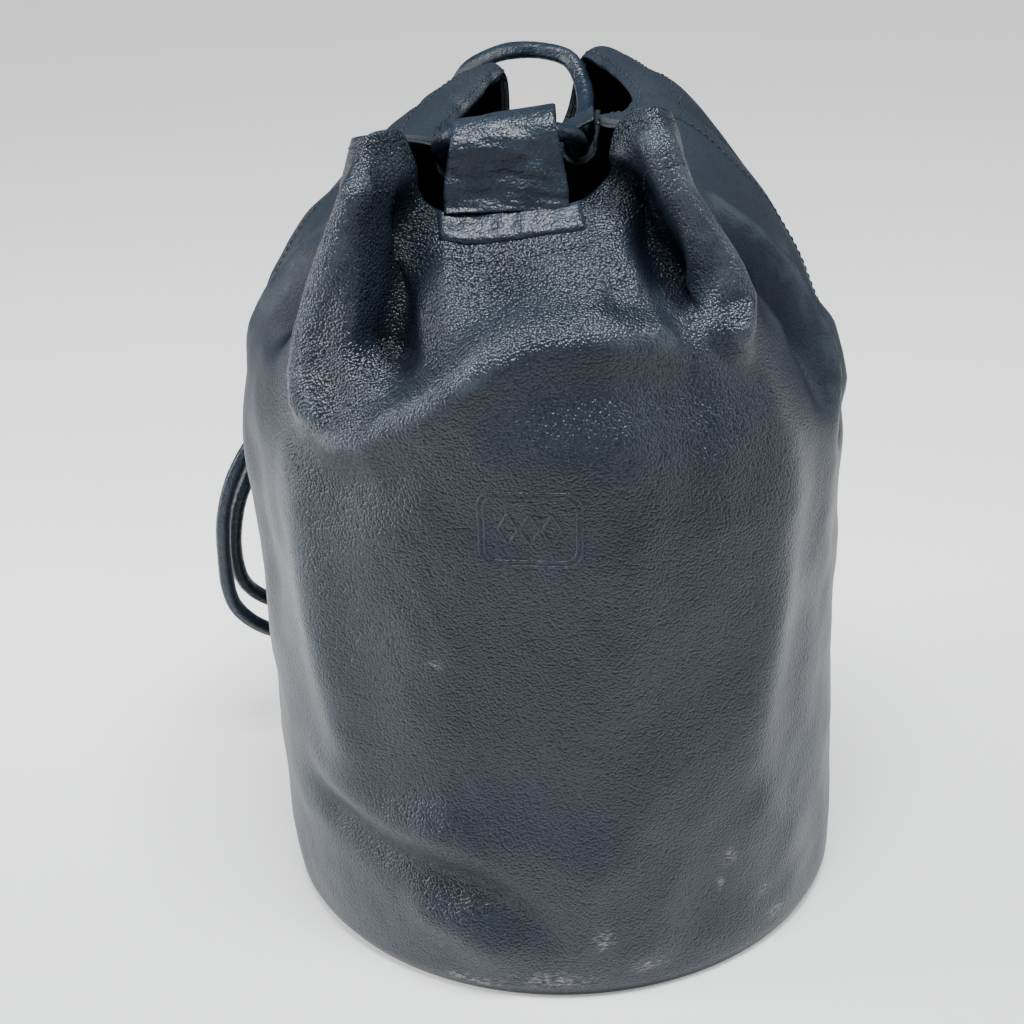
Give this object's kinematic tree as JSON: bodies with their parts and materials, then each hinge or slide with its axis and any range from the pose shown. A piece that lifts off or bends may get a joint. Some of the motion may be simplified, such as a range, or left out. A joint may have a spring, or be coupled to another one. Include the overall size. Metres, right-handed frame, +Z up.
{
  "type": "bucket bag",
  "caption": "Soft leather drawstring bucket bag on a round base, mouth drawn shut by a rolled leather cord that runs down the back as a shoulder strap.",
  "frame": {"origin": "on the floor under the middle of the bag's outline, the free strap strands left out", "axes": "+Z up, -Y towards the front with the loop tab, +X to the viewer's right when facing the front"},
  "size_m": [0.3384, 0.3246, 0.4201],
  "materials": {
    "grained_leather": "pebbled semi-matt navy leather with worn paler ridges",
    "tab_leather": "creased pebbled leather",
    "cord_leather": "smooth rolled leather cord with a slight gloss",
    "lining_cloth": "matt black woven cloth",
    "seam_tape": "ribbed binding tape",
    "base_board": "pressed fibre board"
  },
  "bodies": {
    "bag": {"body_front_panel": "grained_leather", "body_back_panel": "grained_leather", "rim_facing": "grained_leather", "lining": "lining_cloth", "right_seam_tape": "seam_tape", "left_seam_tape": "seam_tape", "base_panel": "grained_leather", "base_board": "base_board", "base_lining": "lining_cloth", "front_loop_tab": "tab_leather", "right_loop_tab": "tab_leather", "left_loop_tab": "tab_leather", "strap_keeper": "tab_leather", "strap_anchor": "tab_leather", "mouth_drawcord": "cord_leather"},
    "strap": {"strap_strand_lower": "cord_leather", "strap_strand_upper": "cord_leather"}
  },
  "joints": [
    {"name": "strap_swing", "type": "hinge", "parent": "bag", "child": "strap", "pos_m": [-0.0331, 0.13133, 0.324], "axis": [0.084, 0.0541, -0.995], "range_deg": [0, 150]}
  ]
}
